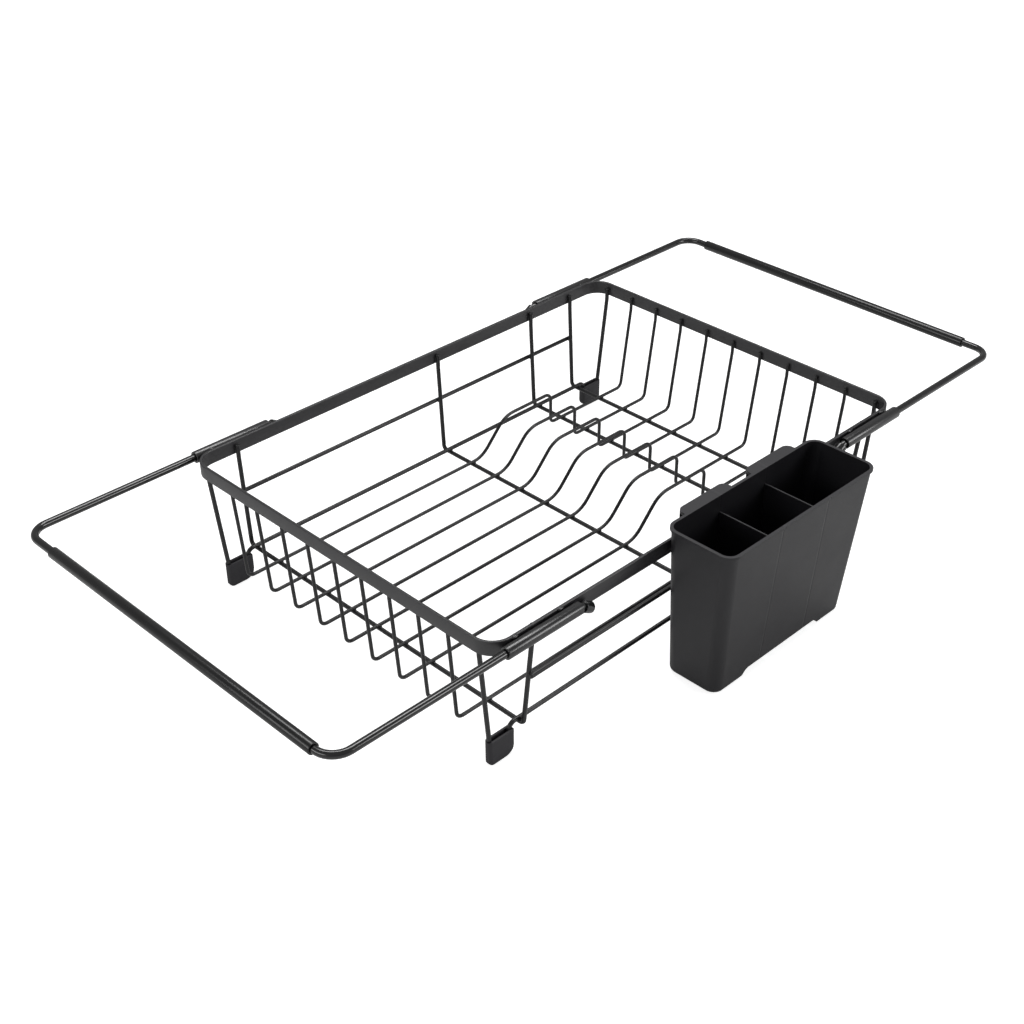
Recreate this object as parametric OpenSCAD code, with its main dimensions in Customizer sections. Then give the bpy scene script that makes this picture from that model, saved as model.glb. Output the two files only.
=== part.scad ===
// Dish drying rack that stands on a counter or hangs over a sink on two
// pull-out arms, with a cutlery holder hooked on the rim.
// Millimetres, +Z up, +X along the basket, the counter at Z = 0, and the
// origin under the middle of the whole rack.

/* [Basket rim] */
// Length of the basket, outside the rim
basket_length = 385; // [350:1:480]
// Width of the basket, outside the rim
basket_width = 280; // [250:1:340]
// Height of the rim's top edge above the counter
rim_top = 99; // [85:1:125]
// Height of the flat strip that the rim is bent from
rim_height = 10; // [9:0.5:12]
// Thickness of the rim strip
rim_thickness = 2; // [1.5:0.1:2.5]
// Outside radius of the rim's corners
rim_corner = 15; // [10:0.5:25]

/* [Wires] */
// Diameter of the divider wires and the plain floor wires
thin_wire = 2.4; // [2:0.1:3]
// Diameter of the leg wires, cross wires and side rails
frame_wire = 3; // [2.6:0.1:3.6]
// Height of the floor wires' centre line above the counter
floor_height = 21; // [19:0.5:30]
// Distance from the rim's left end to the floor wires' bends
left_inset = 8; // [6:0.5:16]
// Distance from the rim's right end to the floor wires' bends
right_inset = 12.5; // [6:0.5:16]
// Distance that a wire sinks into another one at a weld
weld_bite = 0.1; // [0.05:0.01:0.15]
// Distance from the rim's long side to the leg wire beside it
leg_inset = 14; // [12:0.5:20]
// Height of the side rails above the counter
rail_height = 58.6; // [45:0.1:70]

/* [Plate dividers] */
// Rise of the dividers' plateau above the floor wires
hump_rise = 25.5; // [15:0.5:30]
// Length of the plateau
hump_plateau = 48.5; // [30:0.5:60]
// Length of the ramp that leads up to the plateau
hump_ramp = 24; // [18:0.5:30]
// Distance from the basket's right end to the dividers' upright drop
hump_inset = 92; // [80:0.5:110]

/* [Pull-out arms] */
// Diameter of the arm's rod
rod = 5; // [4:0.1:6]
// Distance from the rim's end to the centre line of an extended arm's crossbar
arm_reach = 115.8; // [100:0.1:120]
// Radius of the bends at the ends of the crossbar
arm_bend = 13; // [10:0.5:20]
// Diameter of the end caps that stop an arm in its sleeves
cap_outer = 7.4; // [7.2:0.1:8]
// Length of the end caps
cap_length = 7.5; // [6:0.5:10]
// Outside diameter of the guide sleeves
sleeve_outer = 8; // [7.8:0.1:9]
// Length of a guide sleeve
sleeve_length = 59; // [45:1:60]
// Distance from the rim's end to the middle of a sleeve
sleeve_inset = 35.5; // [31:0.5:40]
// Gap between the rod and the sleeve's bore, all round
sleeve_clearance = 0.08; // [0.03:0.01:0.1]
// Outside diameter of the crossbar grips
grip_outer = 7.4; // [6.8:0.1:9]
// Length of the crossbar grips
grip_length = 245; // [180:1:245]

/* [Feet] */
// Distance from the rim's left end to the wire that goes down into a left foot
left_foot_inset = 11; // [10:0.5:18]
// Distance from the rim's right end to the wire that goes down into a right foot
right_foot_inset = 14; // [10:0.5:16]
// Length of a foot along the basket
foot_length = 21; // [21:0.5:26]
// Height of a foot
foot_height = 18; // [15:0.5:18]
// Thickness of a foot across the wire in it
foot_thickness = 5.6; // [5.5:0.1:8]

/* [Cutlery holder] */
// Length of the holder's top, with its lip
holder_length = 147; // [120:1:160]
// Depth of the holder's top, with its lip
holder_depth = 51; // [45:1:70]
// Rise of the holder's top above the rim
holder_rise = 13; // [10:0.5:20]
// Height of the holder's lowest edge above the counter
holder_lift = 1; // [1:0.5:10]
// Thickness of the holder's walls
holder_wall = 1.2; // [1.2:0.1:2]
// Distance that the holder's ends and front lean in towards its base
holder_draft = 6.5; // [2:0.5:8]
// Distance between the middles of the two inner dividers
divider_pitch = 45.2; // [35:0.1:50]
// Length of each hook tab over the rim
tab_length = 44; // [30:1:46]
// Gap between the holder and the rim that it hangs on
holder_clearance = 0.1; // [0.05:0.05:0.5]

/* [Hidden] */
$fn = 48;

coat = "#2b2b2e";
rubber = "#38373c";
plastic = "#3c3c41";
weld_gap = 0.3;       // sleeve to rim face
lap = 0.1;            // straight lengths run this far into the bends
bend_swell = 0.04;    // a bend is this much thicker than the straight wire

// Basket
half_l = basket_length / 2;
half_w = basket_width / 2;
wire_top = rim_top - 4;
rim_kink = rim_top - rim_height - 3;       // height where the wires start to lean in
wall_kink_radius = 10;
floor_bend = 5;
cross_bend = 3.5;
pitch = 2 * (half_w - leg_inset) / 10;     // eleven wires share the width
cross_z = floor_height - thin_wire / 2 - frame_wire / 2 + weld_bite;
leg_z = cross_z + frame_wire - weld_bite;

// Places along the basket
cross_wire_inset = 34.5;
divider_end = half_l - hump_inset;                       // the dividers' upright drop
divider_start = divider_end - hump_plateau - hump_ramp;  // where they leave the floor
cross_x = [-(half_l - cross_wire_inset), divider_start - 8.4, divider_end + 14.5,
           half_l - cross_wire_inset];

// Arms
arm_y = half_w + weld_gap + sleeve_outer / 2;
arm_z = rim_top - 4;
crossbar_x = half_l + arm_reach;
sleeve_x = half_l - sleeve_inset;
stop_tilt = 30;                                          // the capped end turns down this far
stop_bend = 5;
stop_run = stop_bend * tan(stop_tilt / 2);               // corner to each end of that bend
stop_x = sleeve_x - sleeve_length / 2 - stop_run - rod / 40;

// Holder
holder_x = cross_x[1] + 2.4;
holder_top = rim_top + holder_rise;
lip_out = 0.9;
lip_height = 1.6;
holder_back = half_w + 1.1;                              // outer face of the back wall
holder_front = half_w + 0.5 + holder_depth;              // the lip's front edge

// The rack is centred front to back on the whole object, holder and sleeves
basket_y = (holder_front - (arm_y + sleeve_outer / 2)) / 2;

function unit(v) = v / norm(v);
function bend_angle(u, v) = acos(max(-1, min(1, u * v)));
function mirror_points(pts) = [for (i = [len(pts) - 1:-1:0]) [-pts[i].x, pts[i].y, pts[i].z]];
function reversed(list) = [for (i = [len(list) - 1:-1:0]) list[i]];

// Children stand at p with their Z along u
module along(p, u) {
    ref = abs(u.z) < 0.9 ? [0, 0, 1] : [1, 0, 0];
    a = unit(cross(ref, u));
    b = cross(u, a);
    multmatrix([[a.x, b.x, u.x, p.x], [a.y, b.y, u.y, p.y], [a.z, b.z, u.z, p.z], [0, 0, 0, 1]])
        children();
}

// Bend round the corner p, from direction u to direction v
module elbow(p, u, v, r, d) {
    ang = bend_angle(u, v);
    n = unit(v - u * (u * v));
    c = p - u * r * tan(ang / 2) + n * r;
    w = cross(-n, u);
    multmatrix([[-n.x, u.x, w.x, c.x], [-n.y, u.y, w.y, c.y], [-n.z, u.z, w.z, c.z], [0, 0, 0, 1]])
        rotate_extrude(angle = ang)
            translate([r, 0]) circle(d = d + bend_swell);
}

// Round rod of diameter d along corner points, each corner rounded to its radius
module bent_rod(pts, radii, d) {
    n = len(pts);
    dirs = [for (i = [0:n - 2]) unit(pts[i + 1] - pts[i])];
    cut = [for (i = [0:n - 1])
        (i == 0 || i == n - 1) ? 0 : radii[i] * tan(bend_angle(dirs[i - 1], dirs[i]) / 2)];
    for (i = [0:n - 2]) {
        before = cut[i] - (i == 0 ? 0 : lap);
        after = cut[i + 1] - (i == n - 2 ? 0 : lap);
        along(pts[i] + dirs[i] * before, dirs[i])
            cylinder(h = norm(pts[i + 1] - pts[i]) - before - after, d = d);
    }
    for (i = [1:n - 2]) elbow(pts[i], dirs[i - 1], dirs[i], radii[i], d);
}

module in_basket(y = 0) {
    translate([0, basket_y + y, 0]) children();
}

// Flat strip bent on edge into a rounded rectangle
module rim() {
    low = rim_top - rim_height;
    inner = rim_corner - rim_thickness;
    side_l = basket_length - 2 * rim_corner + 2 * lap;
    side_w = basket_width - 2 * rim_corner + 2 * lap;
    color(coat) in_basket() {
        for (k = [0:3])
            translate([(k == 0 || k == 3 ? 1 : -1) * (half_l - rim_corner),
                       (k < 2 ? 1 : -1) * (half_w - rim_corner), low])
                rotate([0, 0, k * 90])
                    rotate_extrude(angle = 90)
                        translate([inner, 0]) square([rim_thickness, rim_height]);
        for (s = [-1, 1]) {
            translate([-side_l / 2, s * (half_w - rim_thickness / 2) - rim_thickness / 2, low])
                cube([side_l, rim_thickness, rim_height]);
            translate([s * (half_l - rim_thickness / 2) - rim_thickness / 2, -side_w / 2, low])
                cube([rim_thickness, side_w, rim_height]);
        }
    }
}

// End of a lengthwise wire, from the rim down to the start of the floor bend
function wall_end(d, floor_x) = [
    [half_l - rim_thickness - d / 2 + weld_bite, 0, wire_top],
    [half_l - rim_thickness - d / 2 + weld_bite, 0, rim_kink],
    floor_x
];

function thin_end(inset) = wall_end(thin_wire, [half_l - inset, 0, floor_height]);
thin_left = mirror_points(reversed(thin_end(left_inset)));
thin_right = reversed(thin_end(right_inset));

// Floor wire that turns up to the rim at both ends
module plain_wire(i) {
    radii = [0, wall_kink_radius, floor_bend, floor_bend, wall_kink_radius, 0];
    color(coat) in_basket((5 - i) * pitch) bent_rod(concat(thin_left, thin_right), radii, thin_wire);
}

// Floor wire with a raised plateau that keeps the plates upright
module divider_wire(i) {
    hump_z = floor_height + hump_rise;
    hump = [[divider_start, 0, floor_height], [divider_start + hump_ramp, 0, hump_z],
            [divider_end, 0, hump_z], [divider_end, 0, floor_height]];
    radii = [0, wall_kink_radius, floor_bend, 20, 20, 6, 4, floor_bend, wall_kink_radius, 0];
    color(coat) in_basket((5 - i) * pitch) bent_rod(concat(thin_left, hump, thin_right), radii, thin_wire);
}

// Leg wire: from the rim down into a foot, back up under the floor and
// the same way at the other end
leg_low = 4.2;
leg_gap = 14.5;
function leg_out(end) = half_l - (end > 0 ? right_foot_inset : left_foot_inset);
function leg_in(end) = leg_out(end) - leg_gap;
function leg_end(end) = concat(wall_end(frame_wire, [leg_out(end), 0, leg_low]),
                               [[leg_in(end), 0, leg_low], [leg_in(end), 0, leg_z]]);
leg_radii = [0, wall_kink_radius, 6, 6, 5, 5, 6, 6, wall_kink_radius, 0];

module leg_wire(side) {
    pts = concat(mirror_points(reversed(leg_end(-1))), reversed(leg_end(1)));
    color(coat) in_basket(side * (half_w - leg_inset)) bent_rod(pts, leg_radii, frame_wire);
}

// Cross wire under the floor wires, turned up to the rim at front and back
cross_front_y = half_w - 10.5;
cross_back_y = half_w - 7;
cross_top_y = half_w - rim_thickness - frame_wire / 2 + weld_bite;

module cross_wire(x) {
    pts = [[x, -cross_top_y, wire_top + 1], [x, -cross_top_y, rim_kink], [x, -cross_front_y, cross_z],
           [x, cross_back_y, cross_z], [x, cross_top_y, rim_kink], [x, cross_top_y, wire_top + 1]];
    radii = [0, wall_kink_radius, cross_bend, cross_bend, wall_kink_radius, 0];
    color(coat) in_basket() bent_rod(pts, radii, frame_wire);
}

// Straight rail along the outside of the cross wires' uprights
module side_rail(side) {
    floor_y = side > 0 ? cross_back_y : cross_front_y;
    lean = atan((cross_top_y - floor_y) / (rim_kink - cross_z));
    rail_y = floor_y + (rail_height - cross_z) * tan(lean) + (frame_wire - weld_bite) / cos(lean);
    reach = cross_x[3] + frame_wire / 2;
    color(coat) in_basket(side * rail_y)
        translate([-reach, 0, rail_height]) rotate([0, 90, 0]) cylinder(h = 2 * reach, d = frame_wire);
}

// Guide sleeve with two lugs welded to the rim's face
module sleeve(end, side) {
    lug_offset = 18;
    lug_length = 5;
    lug_reach = weld_gap + sleeve_outer / 4;
    color(coat) in_basket() difference() {
        union() {
            translate([end * sleeve_x - sleeve_length / 2, side * arm_y, arm_z])
                rotate([0, 90, 0]) cylinder(h = sleeve_length, d = sleeve_outer);
            for (k = [-1, 1])
                translate([end * sleeve_x + k * lug_offset, side * (half_w + lug_reach / 2), arm_z])
                    translate([-lug_length / 2, -lug_reach / 2, -1])
                        cube([lug_length, lug_reach, 4.5]);
        }
        translate([end * sleeve_x - sleeve_length / 2 - 1, side * arm_y, arm_z])
            rotate([0, 90, 0]) cylinder(h = sleeve_length + 2, d = rod + 2 * sleeve_clearance);
    }
}

// U-shaped arm with capped, turned-down ends that stop it in its sleeves
module arm(end) {
    down = [-cos(stop_tilt), 0, -sin(stop_tilt)];
    tail = stop_run + cap_length - 1;
    pts = [[stop_x, -arm_y, arm_z] + down * tail, [stop_x, -arm_y, arm_z], [crossbar_x, -arm_y, arm_z],
           [crossbar_x, arm_y, arm_z], [stop_x, arm_y, arm_z], [stop_x, arm_y, arm_z] + down * tail];
    radii = [0, stop_bend, arm_bend, arm_bend, stop_bend, 0];
    color(coat) in_basket() mirror([end < 0 ? 1 : 0, 0, 0]) {
        bent_rod(pts, radii, rod);
        for (side = [-1, 1])
            along([stop_x, side * arm_y, arm_z] + down * stop_run, down)
                cylinder(h = cap_length, d = cap_outer);
    }
}

// Soft tube on an arm's crossbar
module grip(end, shift) {
    fit = 0.02;
    color(rubber) in_basket(shift) translate([end * crossbar_x, 0, arm_z])
        rotate([90, 0, 0]) difference() {
            cylinder(h = grip_length, d = grip_outer, center = true);
            cylinder(h = grip_length + 2, d = rod + 2 * fit, center = true);
        }
}

// Moulded foot that the bottom of the leg wire lies in
module foot(end, side) {
    fit = 0.05;
    outer_corner = 3.5;
    inner_corner = 8;
    end_corner = foot_thickness / 2 - 0.2;
    lean_in = 1;
    slot = 2.8;
    half = foot_length / 2;
    color(rubber) in_basket(side * (half_w - leg_inset)) mirror([end < 0 ? 1 : 0, 0, 0]) difference() {
        translate([leg_out(end) - leg_gap / 2, 0, 0]) intersection() {
            // seen from the side
            translate([0, foot_thickness / 2, 0]) rotate([90, 0, 0]) linear_extrude(foot_thickness) {
                translate([inner_corner - half, inner_corner]) circle(r = inner_corner);
                translate([half - outer_corner, outer_corner]) circle(r = outer_corner);
                polygon([[inner_corner - half, 0], [half - outer_corner, 0], [half, outer_corner],
                         [half, foot_height], [lean_in - half, foot_height], [-half, inner_corner]]);
            }
            // seen from above
            linear_extrude(foot_height)
                plan(foot_length, -foot_thickness / 2, foot_thickness / 2, end_corner);
        }
        bent_rod(leg_end(end), [0, wall_kink_radius, 6, 6, 0], frame_wire + 2 * fit);
        // slot that the wire is pressed down through
        translate([leg_in(end), -slot / 2, leg_low])
            cube([leg_gap, slot, foot_height]);
    }
}

// Rounded rectangle, w wide in X and from y0 back to y1, with corner radius r
module plan(w, y0, y1, r) {
    for (sx = [-1, 1]) for (y = [y0 + r, y1 - r])
        translate([sx * (w / 2 - r), y]) circle(r = r);
    translate([-w / 2 + r, y0]) square([w - 2 * r, y1 - y0]);
    translate([-w / 2, y0 + r]) square([w, y1 - y0 - 2 * r]);
}

// Tapered block between two rounded rectangles, its lower edge rounded to edge_round
module tapered(w_low, w_high, front_low, front_high, back, z_low, z_high, r, edge_round = 0) {
    skin = 0.01;
    hull() {
        for (a = edge_round > 0 ? [0:22.5:90] : [90]) {
            inset = edge_round * (1 - sin(a));
            translate([0, 0, z_low + edge_round * (1 - cos(a))]) linear_extrude(skin)
                plan(w_low - 2 * inset, inset - front_low, -back - inset, r - inset, $fn = 32);
        }
        translate([0, 0, z_high - skin]) linear_extrude(skin) plan(w_high, -front_high, -back, r, $fn = 32);
    }
}

// Moulded cutlery holder with three compartments and two hook tabs over the rim
module cutlery_holder() {
    corner = 8;
    body_length = holder_length - 2 * lip_out;
    body_front = holder_front - lip_out;
    height = holder_top - holder_lift;
    base_length = body_length - 2 * holder_draft;
    base_front = body_front - 1.3 * holder_draft;
    base_round = 3;
    arch = 6;
    floor_low = holder_lift + arch;
    floor_top = floor_low + 2;
    divider_top = rim_top + 1;
    divider_thick = 1;
    wall = holder_wall;
    base_wall = wall + base_round;
    // size of the tapered body at a height
    function slope(z) = (z - holder_lift) / height;
    function len_at(z) = base_length + (body_length - base_length) * slope(z);
    function front_at(z) = base_front + (body_front - base_front) * slope(z);
    color(plastic) in_basket() translate([holder_x, 0, 0]) difference() {
        union() {
            difference() {
                union() {
                    tapered(base_length, body_length, base_front, body_front, holder_back,
                            holder_lift, holder_top, corner, base_round);
                    translate([0, 0, holder_top - lip_height]) linear_extrude(lip_height)
                        plan(holder_length, -holder_front, -holder_back + lip_out, corner + lip_out);
                }
                // compartments
                difference() {
                    inside();
                    for (s = [-1, 1])
                        translate([s * divider_pitch / 2 - divider_thick / 2, -holder_front, 0])
                            cube([divider_thick, holder_depth + 10, divider_top]);
                }
                // recess under the floor
                translate([0, 0, holder_lift - 1]) linear_extrude(arch + 1)
                    plan(base_length - 2 * base_wall, base_wall - base_front, -holder_back - base_wall,
                         corner - base_wall);
            }
            // hook tabs
            for (s = [-1, 1]) translate([s * (tab_length / 2 + 10), 0, 0]) hook_tab();
        }
        arch_cut();
        drain_slots();
    }

    module inside() {
        tapered(len_at(floor_top) - 2 * wall, body_length - 2 * wall, front_at(floor_top) - wall,
                body_front - wall, holder_back + wall, floor_top, holder_top + 1, corner - wall);
    }

    // Flat top that reaches over the rim, with a flange and two ribs under it
    module hook_tab() {
        reach = half_w - 6.6;
        flange = 2;
        roof = 2;
        round_end = 5;
        rib_inset = 4;
        rib = 1.8;
        drop = 20;
        difference() {
            translate([0, 0, holder_top - drop]) linear_extrude(drop)
                plan(tab_length, -holder_back - wall / 2 - round_end, -reach, round_end);
            translate([-tab_length, -holder_back, holder_top - drop - 1])
                cube([2 * tab_length, holder_back - reach - flange, drop - roof + 1]);
            translate([-tab_length, -holder_back - 2 * corner, 0])
                cube([2 * tab_length, 2 * corner, holder_top - roof]);
            inside();
        }
        for (s = [-1, 1])
            translate([s * (tab_length / 2 - rib_inset) - rib / 2, -holder_back - wall / 2,
                       rim_top + holder_clearance])
                cube([rib, holder_back - reach - flange / 2 + wall / 2,
                      holder_rise - holder_clearance - roof / 2]);
    }

    // Arch between the holder's end feet, with an S-bend at each end
    module arch_cut() {
        half = base_length / 2 - 33;
        run = 2 * arch * sin(60);
        translate([0, 0, holder_lift]) rotate([90, 0, 0]) linear_extrude(2 * holder_front) {
            translate([-half, -1]) square([2 * half, arch + 1]);
            for (s = [0, 1]) mirror([s, 0]) translate([half, 0]) {
                circle(r = arch);
                difference() {
                    translate([-1, -1]) square([run + 1, 1 + arch / 2]);
                    translate([run, arch]) circle(r = arch);
                }
            }
        }
    }

    module drain_slots() {
        slot = 3;
        for (c = [-1:1]) for (k = [-1:1])
            translate([c * divider_pitch + k * 3 * slot - slot / 2, -front_at(floor_top) + 3 * wall,
                       floor_low - 1])
                cube([slot, front_at(floor_top) - holder_back - 6 * wall, 5]);
    }
}

rim();
leg_wire(1);  // leg_wire_back
leg_wire(-1);  // leg_wire_front
divider_wire(1);  // divider_wire_1
divider_wire(2);  // divider_wire_2
divider_wire(3);  // divider_wire_3
divider_wire(4);  // divider_wire_4
divider_wire(5);  // divider_wire_5
divider_wire(6);  // divider_wire_6
divider_wire(7);  // divider_wire_7
plain_wire(8);  // plain_wire_1
plain_wire(9);  // plain_wire_2
cross_wire(cross_x[0]);  // cross_wire_1
cross_wire(cross_x[1]);  // cross_wire_2
cross_wire(cross_x[2]);  // cross_wire_3
cross_wire(cross_x[3]);  // cross_wire_4
side_rail(1);  // side_rail_back
side_rail(-1);  // side_rail_front
sleeve(-1, 1);  // sleeve_back_left
sleeve(-1, -1);  // sleeve_front_left
sleeve(1, 1);  // sleeve_back_right
sleeve(1, -1);  // sleeve_front_right
arm(-1);  // arm_left
arm(1);  // arm_right
grip(-1, -8);  // grip_left
grip(1, 1.5);  // grip_right
foot(-1, 1);  // foot_back_left
foot(-1, -1);  // foot_front_left
foot(1, 1);  // foot_back_right
foot(1, -1);  // foot_front_right
cutlery_holder();
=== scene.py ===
from math import cos, pi, radians, sin, tan

import bmesh
import bpy
from mathutils import Matrix, Vector


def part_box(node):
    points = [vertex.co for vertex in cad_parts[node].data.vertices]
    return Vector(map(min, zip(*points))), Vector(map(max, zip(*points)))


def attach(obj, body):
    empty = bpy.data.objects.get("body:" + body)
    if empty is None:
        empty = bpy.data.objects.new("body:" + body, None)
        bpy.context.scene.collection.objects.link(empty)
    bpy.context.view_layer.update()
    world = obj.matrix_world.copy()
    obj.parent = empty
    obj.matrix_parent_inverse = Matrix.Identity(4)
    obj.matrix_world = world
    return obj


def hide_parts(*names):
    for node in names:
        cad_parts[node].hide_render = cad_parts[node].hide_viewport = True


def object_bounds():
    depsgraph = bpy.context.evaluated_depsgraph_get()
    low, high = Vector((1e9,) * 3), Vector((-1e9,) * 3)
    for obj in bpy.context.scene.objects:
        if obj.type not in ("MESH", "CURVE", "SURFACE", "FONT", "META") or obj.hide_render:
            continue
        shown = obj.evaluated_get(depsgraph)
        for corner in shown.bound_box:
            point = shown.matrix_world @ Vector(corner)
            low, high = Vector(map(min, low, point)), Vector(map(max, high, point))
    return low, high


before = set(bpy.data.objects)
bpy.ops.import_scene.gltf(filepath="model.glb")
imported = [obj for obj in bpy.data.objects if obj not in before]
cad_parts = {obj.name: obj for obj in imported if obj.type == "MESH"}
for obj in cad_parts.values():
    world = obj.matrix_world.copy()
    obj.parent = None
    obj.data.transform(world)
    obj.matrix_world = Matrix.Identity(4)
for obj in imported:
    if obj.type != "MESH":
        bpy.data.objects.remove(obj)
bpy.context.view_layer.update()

# ---------------------------------------------------------------- rim
# A flat steel strip, 10 by 2 mm, bent on edge into a rounded rectangle. Its
# ends are butt-welded in the middle of the back side and ground flush, and
# the whole basket is powder coated after welding.
MM = 0.001
rim_low, rim_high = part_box("rim")
strip_thickness = 2 * MM
rim_corner = 15 * MM
strip_edge_round = 0.55 * MM
corner_steps = 12


def powder_coat(name, colour, roughness, grain, peel=0.5, coat=0.0, gloss=0.5):
    """Satin black powder coat: fine grain, orange peel, faint dust and worn spots."""
    coating = bpy.data.materials.new(name)
    coating.use_nodes = True
    tree = coating.node_tree
    nodes, links = tree.nodes, tree.links
    shader = nodes["Principled BSDF"]
    place = nodes.new("ShaderNodeTexCoord")
    fine = nodes.new("ShaderNodeTexNoise")
    fine.inputs["Scale"].default_value = 2600
    fine.inputs["Detail"].default_value = 3
    fine.inputs["Roughness"].default_value = 0.6
    waves = nodes.new("ShaderNodeTexNoise")
    waves.inputs["Scale"].default_value = 420
    waves.inputs["Detail"].default_value = 2
    patches = nodes.new("ShaderNodeTexNoise")
    patches.inputs["Scale"].default_value = 38
    patches.inputs["Detail"].default_value = 4
    patches.inputs["Roughness"].default_value = 0.65
    for texture in (fine, waves, patches):
        links.new(place.outputs["Object"], texture.inputs["Vector"])

    tint = nodes.new("ShaderNodeValToRGB")
    tint.color_ramp.elements[0].position = 0.3
    tint.color_ramp.elements[1].position = 0.75
    dust = 0.12
    dark = [c * (1 - 2 * dust) for c in colour]
    light = [c * (1 + 2 * dust) + 0.01 * dust for c in colour]
    tint.color_ramp.elements[0].color = (*dark, 1)
    tint.color_ramp.elements[1].color = (*light, 1)
    links.new(patches.outputs["Fac"], tint.inputs["Fac"])
    speck = nodes.new("ShaderNodeValToRGB")
    speck.color_ramp.elements[0].position = 0.35
    speck.color_ramp.elements[1].position = 0.7
    speck.color_ramp.elements[0].color = (0.86, 0.86, 0.86, 1)
    speck.color_ramp.elements[1].color = (1.14, 1.14, 1.14, 1)
    links.new(fine.outputs["Fac"], speck.inputs["Fac"])
    colour_mix = nodes.new("ShaderNodeMix")
    colour_mix.data_type = "RGBA"
    colour_mix.blend_type = "MULTIPLY"
    colour_mix.inputs["Factor"].default_value = 1
    links.new(tint.outputs["Color"], colour_mix.inputs[6])
    links.new(speck.outputs["Color"], colour_mix.inputs[7])
    links.new(colour_mix.outputs[2], shader.inputs["Base Color"])

    rough = nodes.new("ShaderNodeMapRange")
    rough.inputs["From Min"].default_value = 0.3
    rough.inputs["From Max"].default_value = 0.7
    rough.inputs["To Min"].default_value = roughness - 0.05
    rough.inputs["To Max"].default_value = roughness + 0.07
    links.new(patches.outputs["Fac"], rough.inputs["Value"])
    links.new(rough.outputs["Result"], shader.inputs["Roughness"])

    peel_bump = nodes.new("ShaderNodeBump")
    peel_bump.inputs["Strength"].default_value = peel
    peel_bump.inputs["Distance"].default_value = 0.06 * MM
    links.new(waves.outputs["Fac"], peel_bump.inputs["Height"])
    grain_bump = nodes.new("ShaderNodeBump")
    grain_bump.inputs["Strength"].default_value = grain
    grain_bump.inputs["Distance"].default_value = 0.02 * MM
    links.new(fine.outputs["Fac"], grain_bump.inputs["Height"])
    links.new(peel_bump.outputs["Normal"], grain_bump.inputs["Normal"])
    links.new(grain_bump.outputs["Normal"], shader.inputs["Normal"])
    shader.inputs["Specular IOR Level"].default_value = gloss
    shader.inputs["Coat Weight"].default_value = coat
    shader.inputs["Coat Roughness"].default_value = 0.12
    return coating


def draw_on(bm, edges):
    """Extrudes a ring of edges in place and returns the new ring and its corners."""
    made = bmesh.ops.extrude_edge_only(bm, edges=edges)["geom"]
    corners = [part for part in made if isinstance(part, bmesh.types.BMVert)]
    new = set(corners)
    ring = [part for part in made
            if isinstance(part, bmesh.types.BMEdge) and new.issuperset(part.verts)]
    return ring, corners


def run_straight(bm, edges, along):
    ring, corners = draw_on(bm, edges)
    bmesh.ops.translate(bm, vec=along, verts=corners)
    return ring


def run_round(bm, edges, centre, axis, angle, steps):
    step = Matrix.Rotation(angle / steps, 3, axis)
    for _ in range(steps):
        edges, corners = draw_on(bm, edges)
        bmesh.ops.rotate(bm, verts=corners, cent=centre, matrix=step)
    return edges


def finish_piece(bm, name, body, material, stands_for=(), sharp=35):
    """Makes the shape an object at the origin, shaded smooth except at its sharp edges."""
    bmesh.ops.recalc_face_normals(bm, faces=bm.faces)
    mesh = bpy.data.meshes.new(name)
    bm.to_mesh(mesh)
    bm.free()
    mesh.shade_smooth()
    mesh.set_sharp_from_angle(angle=radians(sharp))
    mesh.materials.append(material)
    piece = bpy.data.objects.new(name, mesh)
    bpy.context.scene.collection.objects.link(piece)
    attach(piece, body)
    if stands_for:
        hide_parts(*stands_for)
    return piece


def strip_section(bm, height, thickness, matrix, rounding):
    """Upright strip section with rounded edges."""
    grid = bmesh.ops.create_grid(bm, x_segments=1, y_segments=1, size=0.5, matrix=matrix)
    bmesh.ops.scale(bm, vec=(1, thickness, height), verts=grid["verts"],
                    space=Matrix.Translation(-matrix.to_translation()))
    bmesh.ops.bevel(bm, geom=grid["verts"], offset=rounding, offset_type="OFFSET", segments=4,
                    profile=0.5, affect="VERTICES", clamp_overlap=True, material=-1)


def rim_shape():
    bm = bmesh.new()
    middle = (rim_low + rim_high) / 2
    half = (rim_high - rim_low) / 2
    start = Vector((middle.x, rim_high.y - strip_thickness / 2, middle.z))
    upright = Matrix.Translation(start) @ Matrix.Rotation(pi / 2, 4, "Y")
    strip_section(bm, 2 * half.z, strip_thickness, upright, strip_edge_round)
    edges = bm.edges[:]
    bmesh.ops.delete(bm, geom=bm.faces[:], context="FACES_ONLY")
    along = [Vector((1, 0, 0)), Vector((0, -1, 0)), Vector((-1, 0, 0)), Vector((0, 1, 0))]
    length = [half.x, 2 * half.y, 2 * half.x, 2 * half.y]
    at = start.copy()
    for side in range(4):
        reach = length[side] - (rim_corner if side == 0 else 2 * rim_corner)
        edges = run_straight(bm, edges, along[side] * reach)
        at = at + along[side] * reach
        centre = at + along[(side + 1) % 4] * (rim_corner - strip_thickness / 2)
        edges = run_round(bm, edges, centre, Vector((0, 0, 1)), -pi / 2, corner_steps)
        at = centre + along[side] * (rim_corner - strip_thickness / 2)
    run_straight(bm, edges, Vector((half.x - rim_corner, 0, 0)))
    bmesh.ops.remove_doubles(bm, verts=bm.verts, dist=0.01 * MM)
    return bm


rim_coat = powder_coat("rim_coat", (0.014, 0.0135, 0.0155), roughness=0.38, grain=0.7, gloss=0.75)
finish_piece(rim_shape(), "rim_strip", "rack", rim_coat, ["rim"], sharp=50)

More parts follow.
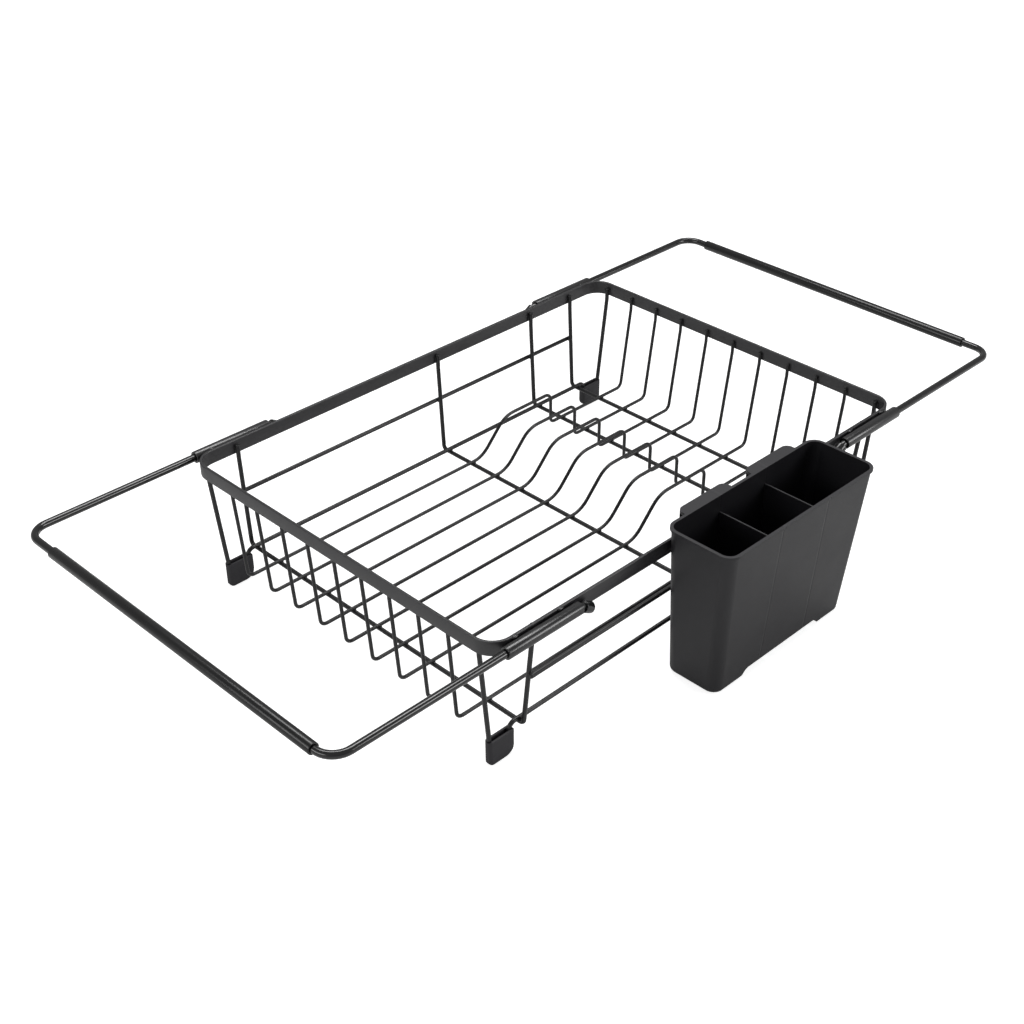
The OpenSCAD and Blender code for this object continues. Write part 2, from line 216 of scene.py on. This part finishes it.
# ---------------------------------------------------------------- lengthwise wires
# Eleven steel wires run along the basket, welded end-on to the rim's inner
# face: seven with the raised divider, two plain, and one thicker leg wire at
# each side that dips through the feet.
wall_bend = 10 * MM
floor_bend = 5 * MM
bend_step = radians(9)
weld_bite = 0.1 * MM
wire_coat = powder_coat("wire_coat", (0.007, 0.007, 0.008), roughness=0.34, grain=0.35, peel=0.4)


def bend_wire(corners, radii, thickness, sides=24, end_round=0.3 * MM):
    """Round wire through the corner points, each corner bent to its radius."""
    bm = bmesh.new()
    runs = [(b - a).normalized() for a, b in zip(corners, corners[1:])]
    turns = [0] + [runs[i].angle(runs[i + 1]) for i in range(len(runs) - 1)] + [0]
    cuts = [radius * tan(turn / 2) for radius, turn in zip(radii, turns)]
    facing = runs[0].to_track_quat("Z", "Y").to_matrix().to_4x4()
    ring = bmesh.ops.create_circle(bm, cap_ends=True, segments=sides, radius=thickness / 2,
                                   matrix=Matrix.Translation(corners[0]) @ facing)
    edges = list({edge for corner in ring["verts"] for edge in corner.link_edges})
    first = list(edges)
    for i, along in enumerate(runs):
        reach = (corners[i + 1] - corners[i]).length - cuts[i] - cuts[i + 1]
        edges = run_straight(bm, edges, along * reach)
        if i + 1 < len(runs):
            inward = (runs[i + 1] - along * along.dot(runs[i + 1])).normalized()
            centre = corners[i + 1] - along * cuts[i + 1] + inward * radii[i + 1]
            steps = max(3, round(turns[i + 1] / bend_step))
            edges = run_round(bm, edges, centre, along.cross(inward), turns[i + 1], steps)
    bmesh.ops.edgeloop_fill(bm, edges=edges)
    bmesh.ops.bevel(bm, geom=first + edges, offset=end_round, offset_type="OFFSET", segments=3,
                    profile=0.5, affect="EDGES", clamp_overlap=True, material=-1)
    return bm


def wire_size(node):
    """Middle line height, thickness, end place and top of a lengthwise wire's node."""
    low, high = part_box(node)
    thickness = high.y - low.y
    return (low.y + high.y) / 2, thickness, high.x - thickness / 2, low.z + thickness / 2, high.z


kink = rim_low.z - 3 * MM
left_floor = rim_high.x - 8 * MM
right_floor = rim_high.x - 12.5 * MM
drop = rim_high.x - 92 * MM
plateau = 48.5 * MM
ramp = 24 * MM
rise = 25.5 * MM
ramp_bend = 20 * MM
plateau_bend = 6 * MM
drop_bend = 4 * MM


def both_ends(left_end, right_end, middle=()):
    """Points of a whole wire: each end is given from the rim inwards, the left one mirrored."""
    left = [Vector((-p.x, p.y, p.z)) for p in left_end]
    return left + list(middle) + list(reversed(right_end))


for node in [f"divider_wire_{i}" for i in range(1, 8)] + ["plain_wire_1", "plain_wire_2"]:
    y, thickness, end, floor, top = wire_size(node)
    wall = [Vector((end, y, top)), Vector((end, y, kink))]
    left_end = wall + [Vector((left_floor, y, floor))]
    right_end = wall + [Vector((right_floor, y, floor))]
    hump = [Vector((drop - plateau - ramp, y, floor)), Vector((drop - plateau, y, floor + rise)),
            Vector((drop, y, floor + rise)), Vector((drop, y, floor))]
    divider = node.startswith("divider")
    hump_radii = [ramp_bend, ramp_bend, plateau_bend, drop_bend] if divider else []
    radii = [0, wall_bend, floor_bend] + hump_radii + [floor_bend, wall_bend, 0]
    shape = bend_wire(both_ends(left_end, right_end, hump if divider else ()), radii, thickness)
    finish_piece(shape, node + "_bent", "rack", wire_coat, [node])

leg_outs = rim_high.x - 11 * MM, rim_high.x - 14 * MM
leg_gap = 14.5 * MM
foot_bend = 6 * MM
rise_bend = 5 * MM
for node in ("leg_wire_back", "leg_wire_front"):
    y, thickness, end, low, top = wire_size(node)
    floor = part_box("cross_wire_1")[0].z + 2 * thickness - weld_bite - thickness / 2
    ends = [[Vector((end, y, top)), Vector((end, y, kink)), Vector((leg_out, y, low)),
             Vector((leg_out - leg_gap, y, low)), Vector((leg_out - leg_gap, y, floor))]
            for leg_out in leg_outs]
    radii = [0, wall_bend, foot_bend, foot_bend, rise_bend]
    shape = bend_wire(both_ends(*ends), radii + radii[::-1], thickness)
    finish_piece(shape, node + "_bent", "rack", wire_coat, [node])

# ---------------------------------------------------------------- cross wires and rails
# Four 3 mm wires lie across under the floor wires and turn up to the rim at
# front and back. A straight rail is welded outside their uprights on each side.
middle_y = (rim_low.y + rim_high.y) / 2
front_floor = rim_high.y - 10.5 * MM - middle_y
back_floor = rim_high.y - 7 * MM - middle_y
cross_bend = 3.5 * MM
for node in [f"cross_wire_{i}" for i in range(1, 5)]:
    low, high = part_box(node)
    thickness = high.x - low.x
    x = (low.x + high.x) / 2
    floor = low.z + thickness / 2
    wall_y = (high.y - low.y) / 2 - thickness / 2
    points = [Vector((x, middle_y + s * y, z)) for s, y, z in (
        (-1, wall_y, high.z), (-1, wall_y, kink), (-1, front_floor, floor),
        (1, back_floor, floor), (1, wall_y, kink), (1, wall_y, high.z))]
    radii = [0, wall_bend, cross_bend, cross_bend, wall_bend, 0]
    shape = bend_wire(points, radii, thickness)
    finish_piece(shape, node + "_bent", "rack", wire_coat, [node])
for node in ("side_rail_back", "side_rail_front"):
    low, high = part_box(node)
    middle = (low + high) / 2
    ends = [Vector((low.x, middle.y, middle.z)), Vector((high.x, middle.y, middle.z))]
    shape = bend_wire(ends, [0, 0], high.z - low.z, end_round=0.5 * MM)
    finish_piece(shape, node + "_cut", "rack", wire_coat, [node])

# ---------------------------------------------------------------- welds
# Every crossing is spot-welded before coating, which leaves a small flattened
# nugget between the wires, and each wire's end is tacked to the rim.
end_weld_height = 3 * MM
crossing_weld = (1.75 * MM, 1.75 * MM, 0.8 * MM)
rail_weld = (1.8 * MM, 0.8 * MM, 1.8 * MM)


def weld_nugget(bm, place, size):
    bmesh.ops.create_icosphere(bm, subdivisions=2, radius=1,
                               matrix=Matrix.Translation(place) @ Matrix.Diagonal((*size, 1)))


def weld_shape():
    bm = bmesh.new()
    lengthwise = ["leg_wire_back", "leg_wire_front", "plain_wire_1", "plain_wire_2"]
    lengthwise += [f"divider_wire_{i}" for i in range(1, 8)]
    for node in lengthwise:
        y, thickness, end, low, top = wire_size(node)
        weld_x = end + thickness / 2 - 0.2 * MM
        weld_z = (rim_low.z + top) / 2 - 0.3 * MM
        for s in (-1, 1):
            place = Vector((s * weld_x, y, weld_z))
            weld_nugget(bm, place, (0.7 * MM, thickness * 0.62, end_weld_height))
        for cross in range(1, 5):
            cross_low, cross_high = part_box(f"cross_wire_{cross}")
            x = (cross_low.x + cross_high.x) / 2
            z = cross_low.z + (cross_high.x - cross_low.x)
            weld_nugget(bm, Vector((x, y, z)), crossing_weld)
    for cross in range(1, 5):
        low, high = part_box(f"cross_wire_{cross}")
        x = (low.x + high.x) / 2
        for edge, s in ((low.y, -1), (high.y, 1)):
            place = Vector((x, edge - s * 0.2 * MM, (rim_low.z + high.z) / 2 - 0.3 * MM))
            weld_nugget(bm, place, (1.8 * MM, 0.7 * MM, end_weld_height))
        for rail, s in (("side_rail_back", 1), ("side_rail_front", -1)):
            rail_low, rail_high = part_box(rail)
            y = rail_low.y if s > 0 else rail_high.y
            weld_nugget(bm, Vector((x, y, (rail_low.z + rail_high.z) / 2)), rail_weld)
    return bm


finish_piece(weld_shape(), "spot_welds", "rack", wire_coat)

# ---------------------------------------------------------------- sleeves
# Short steel tubes that guide the arms, each welded on two lugs to the rim's
# long face. The tube's ends are deburred.
sleeve_bore = 5.16 * MM
lug_offset = 18 * MM
upper_lug_weld = (2.6 * MM, 0.9 * MM, 1 * MM)
lower_lug_weld = (2.8 * MM, 0.7 * MM, 1.2 * MM)
sleeve_coat = powder_coat("sleeve_coat", (0.008, 0.008, 0.009), roughness=0.27,
                          grain=0.06, peel=0.06, gloss=0.8)


def turned_tube(bm, low, high, y, z, bore, outer, rounding, axis="X"):
    """Tube turned about a line along X (or Y) from low to high, its four edges rounded."""
    sides = 48
    wall = (outer - bore) / 2
    place = Vector(((low + high) / 2, y, z + bore / 2 + wall / 2))
    upright = Matrix.Rotation(pi / 2, 4, "X")
    grid = bmesh.ops.create_grid(bm, x_segments=1, y_segments=1, size=0.5, matrix=upright)
    profile = grid["verts"]
    bmesh.ops.scale(bm, vec=(high - low, 1, wall), verts=profile)
    bmesh.ops.translate(bm, vec=place, verts=profile)
    kept = set(bm.verts) - set(profile)
    bmesh.ops.bevel(bm, geom=profile, offset=rounding, offset_type="OFFSET", segments=3,
                    profile=0.5, affect="VERTICES", clamp_overlap=True, material=-1)
    faces = [face for face in bm.faces if not kept.intersection(face.verts)]
    edges = [edge for face in faces for edge in face.edges]
    bmesh.ops.delete(bm, geom=faces, context="FACES_ONLY")
    bmesh.ops.spin(bm, geom=edges, cent=(0, y, z), axis=(1, 0, 0), angle=2 * pi, steps=sides,
                   use_merge=True, use_normal_flip=False, use_duplicate=False)
    bmesh.ops.remove_doubles(bm, verts=[v for v in bm.verts if v not in kept], dist=0.005 * MM)
    if axis == "Y":
        bmesh.ops.rotate(bm, verts=bm.verts, cent=(0, 0, 0), matrix=Matrix.Rotation(pi / 2, 3, "Z"))


for node in ("sleeve_back_left", "sleeve_front_left", "sleeve_back_right", "sleeve_front_right"):
    low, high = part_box(node)
    outer = high.z - low.z
    back = "back" in node
    y = high.y - outer / 2 if back else low.y + outer / 2
    z = (low.z + high.z) / 2
    face_y = rim_high.y if back else rim_low.y
    away = 1 if back else -1
    bm = bmesh.new()
    turned_tube(bm, low.x, high.x, y, z, sleeve_bore, outer, 0.35 * MM)
    for s in (-1, 1):
        x = (low.x + high.x) / 2 + s * lug_offset
        weld_nugget(bm, Vector((x, face_y + away * 0.4 * MM, rim_high.z - 0.7 * MM)), upper_lug_weld)
        weld_nugget(bm, Vector((x, face_y + away * 0.35 * MM, z - 1.6 * MM)), lower_lug_weld)
    finish_piece(bm, node + "_tube", "rack", sleeve_coat, [node])

# ---------------------------------------------------------------- arms
# A 5 mm rod bent into a wide U. Its inner ends turn down a little and carry
# thicker caps, so the arm can't be pulled out of its sleeves. The coat is
# glossier than the basket's.
arm_coat = powder_coat("arm_coat", (0.003, 0.003, 0.0035), roughness=0.2,
                       grain=0.05, peel=0.05, coat=0.4)
rod = 5 * MM
bend_proud = 0.02 * MM
arm_bend = 13 * MM
stop_bend = 5 * MM
stop_tilt = radians(30)
stop_run = stop_bend * tan(stop_tilt / 2)
cap_outer = 7.4 * MM
cap_length = 7.5 * MM
cap_far_round = 0.9 * MM
cap_near_round = 0.35 * MM


def end_cap(bm, start, along):
    """Closed cap on a rod's end: a soft far edge and a slightly broken near edge."""
    facing = along.to_track_quat("Z", "Y").to_matrix().to_4x4()
    middle = start + along * cap_length / 2
    cap = bmesh.ops.create_cone(bm, cap_ends=True, segments=48, radius1=cap_outer / 2,
                                radius2=cap_outer / 2, depth=cap_length,
                                matrix=Matrix.Translation(middle) @ facing)
    rims = [edge for edge in {edge for corner in cap["verts"] for edge in corner.link_edges}
            if abs((edge.verts[0].co - edge.verts[1].co).dot(along)) < 0.1 * MM]
    far_rim = [edge for edge in rims if (edge.verts[0].co - middle).dot(along) > 0]
    near_rim = [edge for edge in rims if (edge.verts[0].co - middle).dot(along) < 0]
    for ring, rounding in ((far_rim, cap_far_round), (near_rim, cap_near_round)):
        bmesh.ops.bevel(bm, geom=ring, offset=rounding, offset_type="OFFSET", segments=4,
                        profile=0.5, affect="EDGES", clamp_overlap=True, material=-1)


sleeve_low, sleeve_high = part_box("sleeve_back_left")
z = (sleeve_low.z + sleeve_high.z) / 2
for node, body, s in (("arm_left", "left_arm", -1), ("arm_right", "right_arm", 1)):
    low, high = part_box(node)
    reach = max(abs(low.x), abs(high.x)) - rod / 2 - bend_proud
    corner = (min(abs(low.x), abs(high.x)) + cos(stop_tilt) * (stop_run + cap_length)
              + sin(stop_tilt) * cap_outer / 2)
    tail = stop_run + cap_length / 2
    end_x, end_z = corner - cos(stop_tilt) * tail, z - sin(stop_tilt) * tail
    y0, y1 = low.y + cap_outer / 2, high.y - cap_outer / 2
    points = [Vector((s * x, y, h)) for x, y, h in (
        (end_x, y0, end_z), (corner, y0, z), (reach, y0, z),
        (reach, y1, z), (corner, y1, z), (end_x, y1, end_z))]
    radii = [0, stop_bend, arm_bend, arm_bend, stop_bend, 0]
    shape = bend_wire(points, radii, rod, sides=36, end_round=0.6 * MM)
    along = Vector((-s * cos(stop_tilt), 0, -sin(stop_tilt)))
    for y in (y0, y1):
        end_cap(shape, Vector((s * corner, y, z)) + along * stop_run, along)
    finish_piece(shape, node + "_rod", body, arm_coat, [node])

# ---------------------------------------------------------------- grips
# Soft black tube pushed on each arm's crossbar, cut square at both ends. It
# keeps the arm from sliding and scratching on the sink's edge.


def soft_tube(name, colour, roughness):
    """Extruded soft tube: faint draw lines along it, dull patches from handling."""
    skin = bpy.data.materials.new(name)
    skin.use_nodes = True
    tree = skin.node_tree
    nodes, links = tree.nodes, tree.links
    shader = nodes["Principled BSDF"]
    place = nodes.new("ShaderNodeTexCoord")
    stretch = nodes.new("ShaderNodeMapping")
    stretch.inputs["Scale"].default_value = (1, 0.03, 1)
    lines = nodes.new("ShaderNodeTexNoise")
    lines.inputs["Scale"].default_value = 2400
    lines.inputs["Detail"].default_value = 2
    links.new(place.outputs["Object"], stretch.inputs["Vector"])
    links.new(stretch.outputs["Vector"], lines.inputs["Vector"])
    handling = nodes.new("ShaderNodeTexNoise")
    handling.inputs["Scale"].default_value = 60
    handling.inputs["Detail"].default_value = 4
    links.new(place.outputs["Object"], handling.inputs["Vector"])
    tint = nodes.new("ShaderNodeValToRGB")
    tint.color_ramp.elements[0].position = 0.3
    tint.color_ramp.elements[1].position = 0.72
    tint.color_ramp.elements[0].color = (*[c * 0.8 for c in colour], 1)
    tint.color_ramp.elements[1].color = (*[c * 1.25 for c in colour], 1)
    links.new(handling.outputs["Fac"], tint.inputs["Fac"])
    links.new(tint.outputs["Color"], shader.inputs["Base Color"])
    rough = nodes.new("ShaderNodeMapRange")
    rough.inputs["To Min"].default_value = roughness - 0.06
    rough.inputs["To Max"].default_value = roughness + 0.08
    links.new(handling.outputs["Fac"], rough.inputs["Value"])
    links.new(rough.outputs["Result"], shader.inputs["Roughness"])
    bump = nodes.new("ShaderNodeBump")
    bump.inputs["Strength"].default_value = 0.35
    bump.inputs["Distance"].default_value = 0.03 * MM
    links.new(lines.outputs["Fac"], bump.inputs["Height"])
    links.new(bump.outputs["Normal"], shader.inputs["Normal"])
    return skin


grip_rubber = soft_tube("grip_rubber", (0.005, 0.005, 0.0055), 0.26)
for node, body in (("grip_left", "left_arm"), ("grip_right", "right_arm")):
    low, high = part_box(node)
    middle = (low + high) / 2
    bm = bmesh.new()
    # turned along X about the line that a quarter turn brings onto the crossbar
    turned_tube(bm, low.y, high.y, -middle.x, middle.z, rod + 2 * bend_proud, high.z - low.z,
                0.3 * MM, axis="Y")
    finish_piece(bm, node + "_tube", body, grip_rubber, [node])

# ---------------------------------------------------------------- feet
# Moulded rubber feet. Each has a slot from above, pressed over the bottom of
# the leg wire, and stands flat on the counter with rounded corners.
base_zone = 9 * MM


def moulded(name, colour, roughness, gloss, grain_scale, grain_depth, mottling=0.14):
    """Moulded rubber or plastic: an even fine grain, slight flow marks and duller patches."""
    skin = bpy.data.materials.new(name)
    skin.use_nodes = True
    tree = skin.node_tree
    nodes, links = tree.nodes, tree.links
    shader = nodes["Principled BSDF"]
    place = nodes.new("ShaderNodeTexCoord")
    grain = nodes.new("ShaderNodeTexNoise")
    grain.inputs["Scale"].default_value = grain_scale
    grain.inputs["Detail"].default_value = 3
    flow = nodes.new("ShaderNodeTexNoise")
    flow.inputs["Scale"].default_value = 30
    flow.inputs["Detail"].default_value = 5
    flow.inputs["Roughness"].default_value = 0.6
    for texture in (grain, flow):
        links.new(place.outputs["Object"], texture.inputs["Vector"])
    tint = nodes.new("ShaderNodeValToRGB")
    tint.color_ramp.elements[0].position = 0.3
    tint.color_ramp.elements[1].position = 0.72
    tint.color_ramp.elements[0].color = (*[c * (1 - mottling) for c in colour], 1)
    tint.color_ramp.elements[1].color = (*[c * (1 + mottling) for c in colour], 1)
    links.new(flow.outputs["Fac"], tint.inputs["Fac"])
    links.new(tint.outputs["Color"], shader.inputs["Base Color"])
    rough = nodes.new("ShaderNodeMapRange")
    rough.inputs["To Min"].default_value = roughness - 0.07
    rough.inputs["To Max"].default_value = roughness + 0.07
    links.new(flow.outputs["Fac"], rough.inputs["Value"])
    links.new(rough.outputs["Result"], shader.inputs["Roughness"])
    bump = nodes.new("ShaderNodeBump")
    bump.inputs["Strength"].default_value = 0.5
    bump.inputs["Distance"].default_value = grain_depth
    links.new(grain.outputs["Fac"], bump.inputs["Height"])
    links.new(bump.outputs["Normal"], shader.inputs["Normal"])
    shader.inputs["Specular IOR Level"].default_value = gloss
    return skin


def rounded_copy(node, rounding, segments, sharp_from, base_rounding=0.0):
    """The node's own solid with its flat faces made whole and its sharp edges rounded."""
    bm = bmesh.new()
    bm.from_mesh(bpy.data.objects[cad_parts[node].name].data)
    bmesh.ops.remove_doubles(bm, verts=bm.verts, dist=0.002 * MM)
    bmesh.ops.dissolve_limit(bm, angle_limit=radians(0.5), verts=bm.verts, edges=bm.edges,
                             use_dissolve_boundaries=False)
    if base_rounding:
        base = min(face.calc_center_median().z for face in bm.faces)
        low = [edge for edge in bm.edges
               if edge.is_manifold and edge.calc_face_angle() > radians(sharp_from)
               and max(corner.co.z for corner in edge.verts) < base + base_zone
               and all(abs(face.normal.y) > 0.02 or face.normal.z < -0.02 for face in edge.link_faces)]
        bmesh.ops.bevel(bm, geom=low, offset=base_rounding, offset_type="OFFSET", segments=5,
                        profile=0.5, affect="EDGES", clamp_overlap=True, material=-1)
    sharp = [edge for edge in bm.edges
             if edge.is_manifold and edge.calc_face_angle() > radians(sharp_from)]
    bmesh.ops.bevel(bm, geom=sharp, offset=rounding, offset_type="OFFSET", segments=segments,
                    profile=0.5, affect="EDGES", clamp_overlap=True, material=-1)
    return bm


foot_rubber = moulded("foot_rubber", (0.015, 0.014, 0.0175), 0.6, 0.5, 3000, 0.03 * MM)
for node in ("foot_back_left", "foot_front_left", "foot_back_right", "foot_front_right"):
    shape = rounded_copy(node, 0.5 * MM, 3, 40, base_rounding=1.3 * MM)
    finish_piece(shape, node + "_moulding", "rack", foot_rubber, [node], sharp=60)

# ---------------------------------------------------------------- cutlery holder
# One injection moulding with three compartments and two tabs that hook over
# the rim. The walls lean in towards the base so it leaves its mould.


def add_sink_lines(skin, middle, offset):
    """Shallow upright sinks in the outer walls where the inner dividers meet them."""
    tree = skin.node_tree
    nodes, links = tree.nodes, tree.links
    place = nodes.new("ShaderNodeTexCoord")
    split = nodes.new("ShaderNodeSeparateXYZ")
    links.new(place.outputs["Object"], split.inputs["Vector"])
    distance = split.outputs["X"]
    for centre in (middle, offset):
        shift = nodes.new("ShaderNodeMath")
        shift.operation = "SUBTRACT"
        shift.inputs[1].default_value = centre
        links.new(distance, shift.inputs[0])
        fold = nodes.new("ShaderNodeMath")
        fold.operation = "ABSOLUTE"
        links.new(shift.outputs["Value"], fold.inputs[0])
        distance = fold.outputs["Value"]
    sink = nodes.new("ShaderNodeMapRange")
    sink.interpolation_type = "SMOOTHSTEP"
    sink.inputs["From Max"].default_value = 1.3 * MM
    links.new(distance, sink.inputs["Value"])
    dent = nodes.new("ShaderNodeBump")
    dent.inputs["Strength"].default_value = 1
    dent.inputs["Distance"].default_value = 0.12 * MM
    links.new(sink.outputs["Result"], dent.inputs["Height"])
    links.new(dent.outputs["Normal"], nodes["Bump"].inputs["Normal"])


def add_painted_top_highlight(skin, height):
    """Painted highlight: paler colour on upward-facing faces above a height, standing in for light
    from above on the top edges.
    """
    tree = skin.node_tree
    nodes, links = tree.nodes, tree.links
    place = nodes.new("ShaderNodeTexCoord")
    split = nodes.new("ShaderNodeSeparateXYZ")
    links.new(place.outputs["Object"], split.inputs["Vector"])
    surface = nodes.new("ShaderNodeNewGeometry")
    facing = nodes.new("ShaderNodeSeparateXYZ")
    links.new(surface.outputs["True Normal"], facing.inputs["Vector"])
    upward = nodes.new("ShaderNodeMapRange")
    upward.inputs["From Min"].default_value = 0.4
    upward.inputs["From Max"].default_value = 0.95
    upward.inputs["To Max"].default_value = 0.8
    links.new(facing.outputs["Z"], upward.inputs["Value"])
    high_up = nodes.new("ShaderNodeMath")
    high_up.operation = "GREATER_THAN"
    high_up.inputs[1].default_value = height
    links.new(split.outputs["Z"], high_up.inputs[0])
    # painted highlight mask: upward-facing faces above the given height
    painted_highlight_mask = nodes.new("ShaderNodeMath")
    painted_highlight_mask.operation = "MULTIPLY"
    links.new(upward.outputs["Result"], painted_highlight_mask.inputs[0])
    links.new(high_up.outputs["Value"], painted_highlight_mask.inputs[1])
    shade = nodes.new("ShaderNodeMix")
    shade.data_type = "RGBA"
    links.new(painted_highlight_mask.outputs["Value"], shade.inputs["Factor"])
    links.new(nodes["Color Ramp"].outputs["Color"], shade.inputs[6])
    # colour of the painted highlight on the upward-facing top faces
    shade.inputs[7].default_value = (0.035, 0.034, 0.038, 1)
    links.new(shade.outputs[2], nodes["Principled BSDF"].inputs["Base Color"])


holder_plastic = moulded("holder_plastic", (0.0066, 0.0062, 0.0082), 0.44, 0.5, 2200,
                         0.03 * MM, mottling=0.08)
holder_low, holder_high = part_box("cutlery_holder")
divider_offset = 22.6 * MM
# the painted highlight on upward faces reaches this far below the holder's top
painted_highlight_depth = 30 * MM
add_sink_lines(holder_plastic, (holder_low.x + holder_high.x) / 2, divider_offset)
add_painted_top_highlight(holder_plastic, holder_high.z - painted_highlight_depth)
holder = finish_piece(rounded_copy("cutlery_holder", 0.45 * MM, 2, 40), "holder_moulding",
                      "holder", holder_plastic, ["cutlery_holder"], sharp=50)
even = holder.modifiers.new("even_shading", "WEIGHTED_NORMAL")
even.keep_sharp = True

# ---------------------------------------------------------------- floor, light and camera
# A plain pale floor with soft light from large panels, and the camera above
# the front left corner.
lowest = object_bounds()[0].z


def paper_floor():
    bm = bmesh.new()
    bmesh.ops.create_grid(bm, x_segments=1, y_segments=1, size=6,
                          matrix=Matrix.Translation((0, 0, lowest - 0.02 * MM)))
    mesh = bpy.data.meshes.new("paper_floor")
    bm.to_mesh(mesh)
    bm.free()
    paper = bpy.data.materials.new("pale_paper")
    paper.use_nodes = True
    tree = paper.node_tree
    shader = tree.nodes["Principled BSDF"]
    shader.inputs["Base Color"].default_value = (0.62, 0.62, 0.62, 1)
    shader.inputs["Roughness"].default_value = 0.9
    shader.inputs["Emission Color"].default_value = (1, 1, 1, 1)
    # a backlit table: it looks bright to the camera but lights the rack softly
    seen = tree.nodes.new("ShaderNodeLightPath")
    glow = tree.nodes.new("ShaderNodeMapRange")
    glow.inputs["To Min"].default_value = 0.12
    glow.inputs["To Max"].default_value = 0.8
    tree.links.new(seen.outputs["Is Camera Ray"], glow.inputs["Value"])
    tree.links.new(glow.outputs["Result"], shader.inputs["Emission Strength"])
    mesh.materials.append(paper)
    floor = bpy.data.objects.new("paper_floor", mesh)
    bpy.context.scene.collection.objects.link(floor)


paper_floor()

world = bpy.data.worlds.new("studio")
world.use_nodes = True
world.node_tree.nodes["Background"].inputs["Color"].default_value = (1, 1, 1, 1)
world.node_tree.nodes["Background"].inputs["Strength"].default_value = 0.35
bpy.context.scene.world = world
bpy.context.scene.view_settings.view_transform = "Standard"


def light_panel(name, place, target, size, power):
    lamp = bpy.data.lights.new(name, "AREA")
    lamp.shape = "RECTANGLE"
    lamp.size, lamp.size_y = size
    lamp.energy = power
    panel = bpy.data.objects.new(name, lamp)
    panel.location = place
    panel.rotation_euler = (Vector(target) - Vector(place)).to_track_quat("-Z", "Y").to_euler()
    bpy.context.scene.collection.objects.link(panel)


light_panel("far_panel", (0.55, 0.5, 2.1), (0, 0, 0.05), (1.8, 0.5), 26)
light_panel("left_panel", (-1.7, 0.2, 0.7), (0, 0, 0.05), (1.4, 0.5), 8)
light_panel("right_panel", (1.0, -1.6, 0.75), (0.1, 0, 0.05), (1.1, 0.6), 13)

eye = Vector((-0.65942, -0.61328, 0.63918))
look = Vector((0.59700, 0.57478, -0.55966)).normalized()
roll = radians(0.57)
level = look.cross(Vector((0, 0, 1))).normalized()
above = level.cross(look)
right = level * cos(roll) + above * sin(roll)
up = above * cos(roll) - level * sin(roll)
lens = bpy.data.cameras.new("camera")
lens.lens = 56.04
lens.sensor_width = 36
lens.shift_x = -0.0403
lens.shift_y = 0.0138
camera = bpy.data.objects.new("camera", lens)
camera.matrix_world = Matrix((
    (right.x, up.x, -look.x, eye.x),
    (right.y, up.y, -look.y, eye.y),
    (right.z, up.z, -look.z, eye.z),
    (0, 0, 0, 1)))
bpy.context.scene.collection.objects.link(camera)
bpy.context.scene.camera = camera
